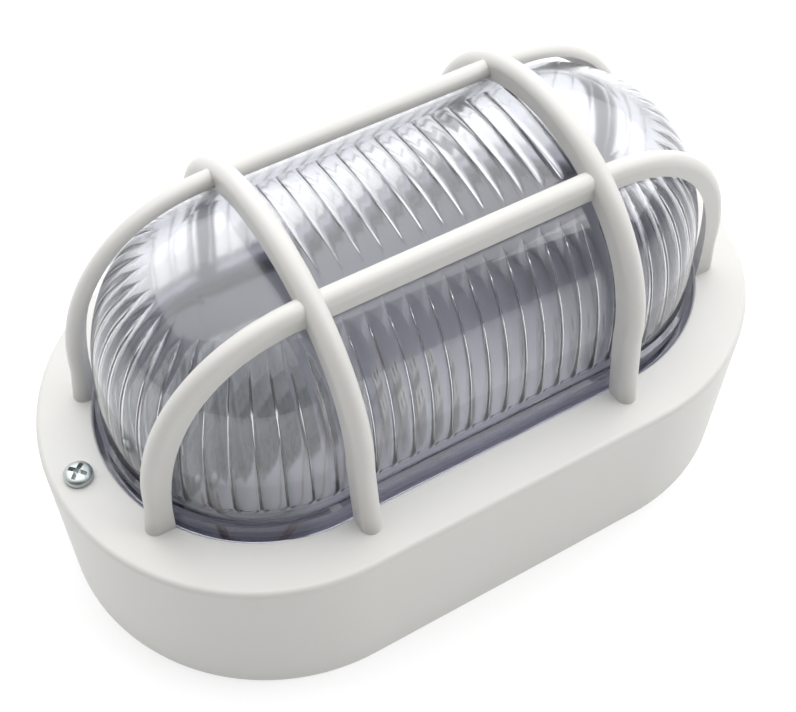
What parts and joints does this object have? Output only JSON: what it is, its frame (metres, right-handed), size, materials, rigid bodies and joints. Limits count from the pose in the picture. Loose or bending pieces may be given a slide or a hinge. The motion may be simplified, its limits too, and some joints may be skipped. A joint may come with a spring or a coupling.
{
  "type": "bulkhead light",
  "caption": "Oval wall or ceiling bulkhead light: a deep moulded cover with a cage guard over a fluted clear lens, and a screw lampholder inside.",
  "frame": {"origin": "centre of the back face, on the wall", "axes": "+X along the length, +Z out of the wall, so the lampholder lies at the -X end with its mouth towards +X"},
  "size_m": [0.214, 0.124, 0.1235],
  "materials": {
    "white_moulding": "satin moulded white",
    "clear_polycarbonate": "clear, polished",
    "seal_rubber": "matte grey",
    "zinc_steel": "bright zinc plate",
    "contact_brass": "bright",
    "holder_thermoset": "satin off-white",
    "block_nylon": "natural",
    "brown_sleeving": "matte",
    "blue_sleeving": "matte"
  },
  "bodies": {
    "root": {"guard_cover": "white_moulding", "lens": "clear_polycarbonate", "lens_gasket": "seal_rubber", "base_housing": "white_moulding", "entry_grommet": "seal_rubber", "cover_screw_left": "zinc_steel", "cover_screw_right": "zinc_steel", "holder_bracket": "zinc_steel", "bracket_screw_1": "zinc_steel", "bracket_screw_2": "zinc_steel", "holder_screw_1": "zinc_steel", "holder_screw_2": "zinc_steel", "holder_terminal_screw_1": "zinc_steel", "holder_terminal_screw_2": "zinc_steel", "lampholder_body": "holder_thermoset", "threaded_sleeve": "contact_brass", "centre_contact": "contact_brass", "sleeve_contact": "contact_brass", "terminal_block": "block_nylon", "terminal_tube_live": "contact_brass", "terminal_tube_neutral": "contact_brass", "clamp_screw_1": "zinc_steel", "clamp_screw_2": "zinc_steel", "clamp_screw_3": "zinc_steel", "clamp_screw_4": "zinc_steel", "block_screw": "zinc_steel", "wire_live": "brown_sleeving", "wire_neutral": "blue_sleeving"}
  },
  "joints": []
}
